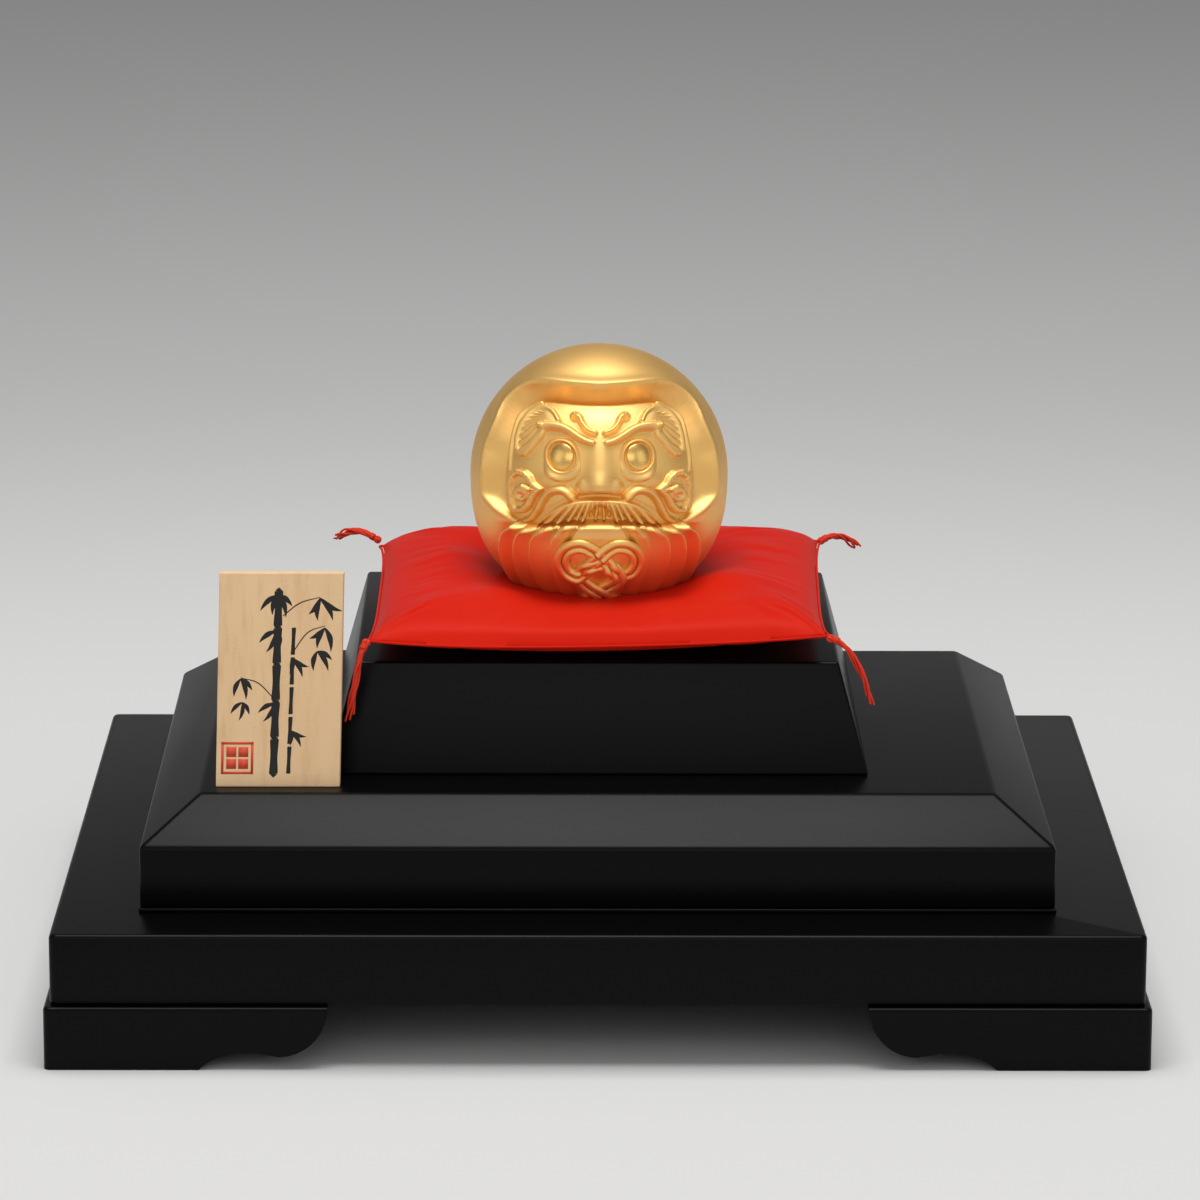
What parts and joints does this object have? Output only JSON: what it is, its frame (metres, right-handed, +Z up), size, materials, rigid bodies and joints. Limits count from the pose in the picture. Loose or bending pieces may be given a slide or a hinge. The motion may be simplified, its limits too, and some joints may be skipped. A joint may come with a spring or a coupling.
{
  "type": "daruma doll",
  "caption": "Hollow golden tumbler figure with a crane-browed face, on a tasselled silk cushion and a stepped black lacquer stand with bracket feet and a leaning wooden plaque.",
  "frame": {"origin": "on the surface the stand stands on, under the middle of the stand", "axes": "+Z up, -Y the way the doll faces, +X to the right as seen from the front"},
  "size_m": [0.2132, 0.1732, 0.1248],
  "materials": {
    "black_lacquer": "black satin lacquer",
    "dowel_wood": "bare",
    "steel": "plain",
    "red_silk": "satin weave",
    "wadding": "cotton",
    "gold": "satin gold",
    "ballast": "cast",
    "cypress": "planed, unvarnished"
  },
  "bodies": {
    "stand": {"lower_board": "black_lacquer", "middle_board": "black_lacquer", "pedestal_block": "black_lacquer", "foot_front_left_long": "black_lacquer", "foot_front_left_short": "black_lacquer", "foot_front_right_long": "black_lacquer", "foot_front_right_short": "black_lacquer", "foot_rear_left_long": "black_lacquer", "foot_rear_left_short": "black_lacquer", "foot_rear_right_long": "black_lacquer", "foot_rear_right_short": "black_lacquer", "foot_dowels": "dowel_wood", "board_screws": "steel", "pedestal_screws": "steel"},
    "cushion": {"cushion_top_panel": "red_silk", "cushion_bottom_panel": "red_silk", "cushion_wadding": "wadding", "tassel_front_left": "red_silk", "tassel_front_right": "red_silk", "tassel_rear_left": "red_silk", "tassel_rear_right": "red_silk"},
    "doll": {"doll_front_shell": "gold", "doll_rear_shell": "gold", "doll_base_plate": "gold", "doll_base_weight": "ballast", "doll_left_eye": "gold", "doll_right_eye": "gold", "belly_knot": "gold"},
    "plaque": {"plaque_board": "cypress", "plaque_prop": "cypress"}
  },
  "joints": [
    {"name": "cushion_lift", "type": "slide", "parent": "stand", "child": "cushion", "axis": [0, 0, 1], "range_m": [0, 0.08]},
    {"name": "doll_lift", "type": "slide", "parent": "cushion", "child": "doll", "axis": [0, 0, 1], "range_m": [0, 0.08]},
    {"name": "plaque_lift", "type": "slide", "parent": "stand", "child": "plaque", "axis": [0, 0, 1], "range_m": [0, 0.06]}
  ]
}
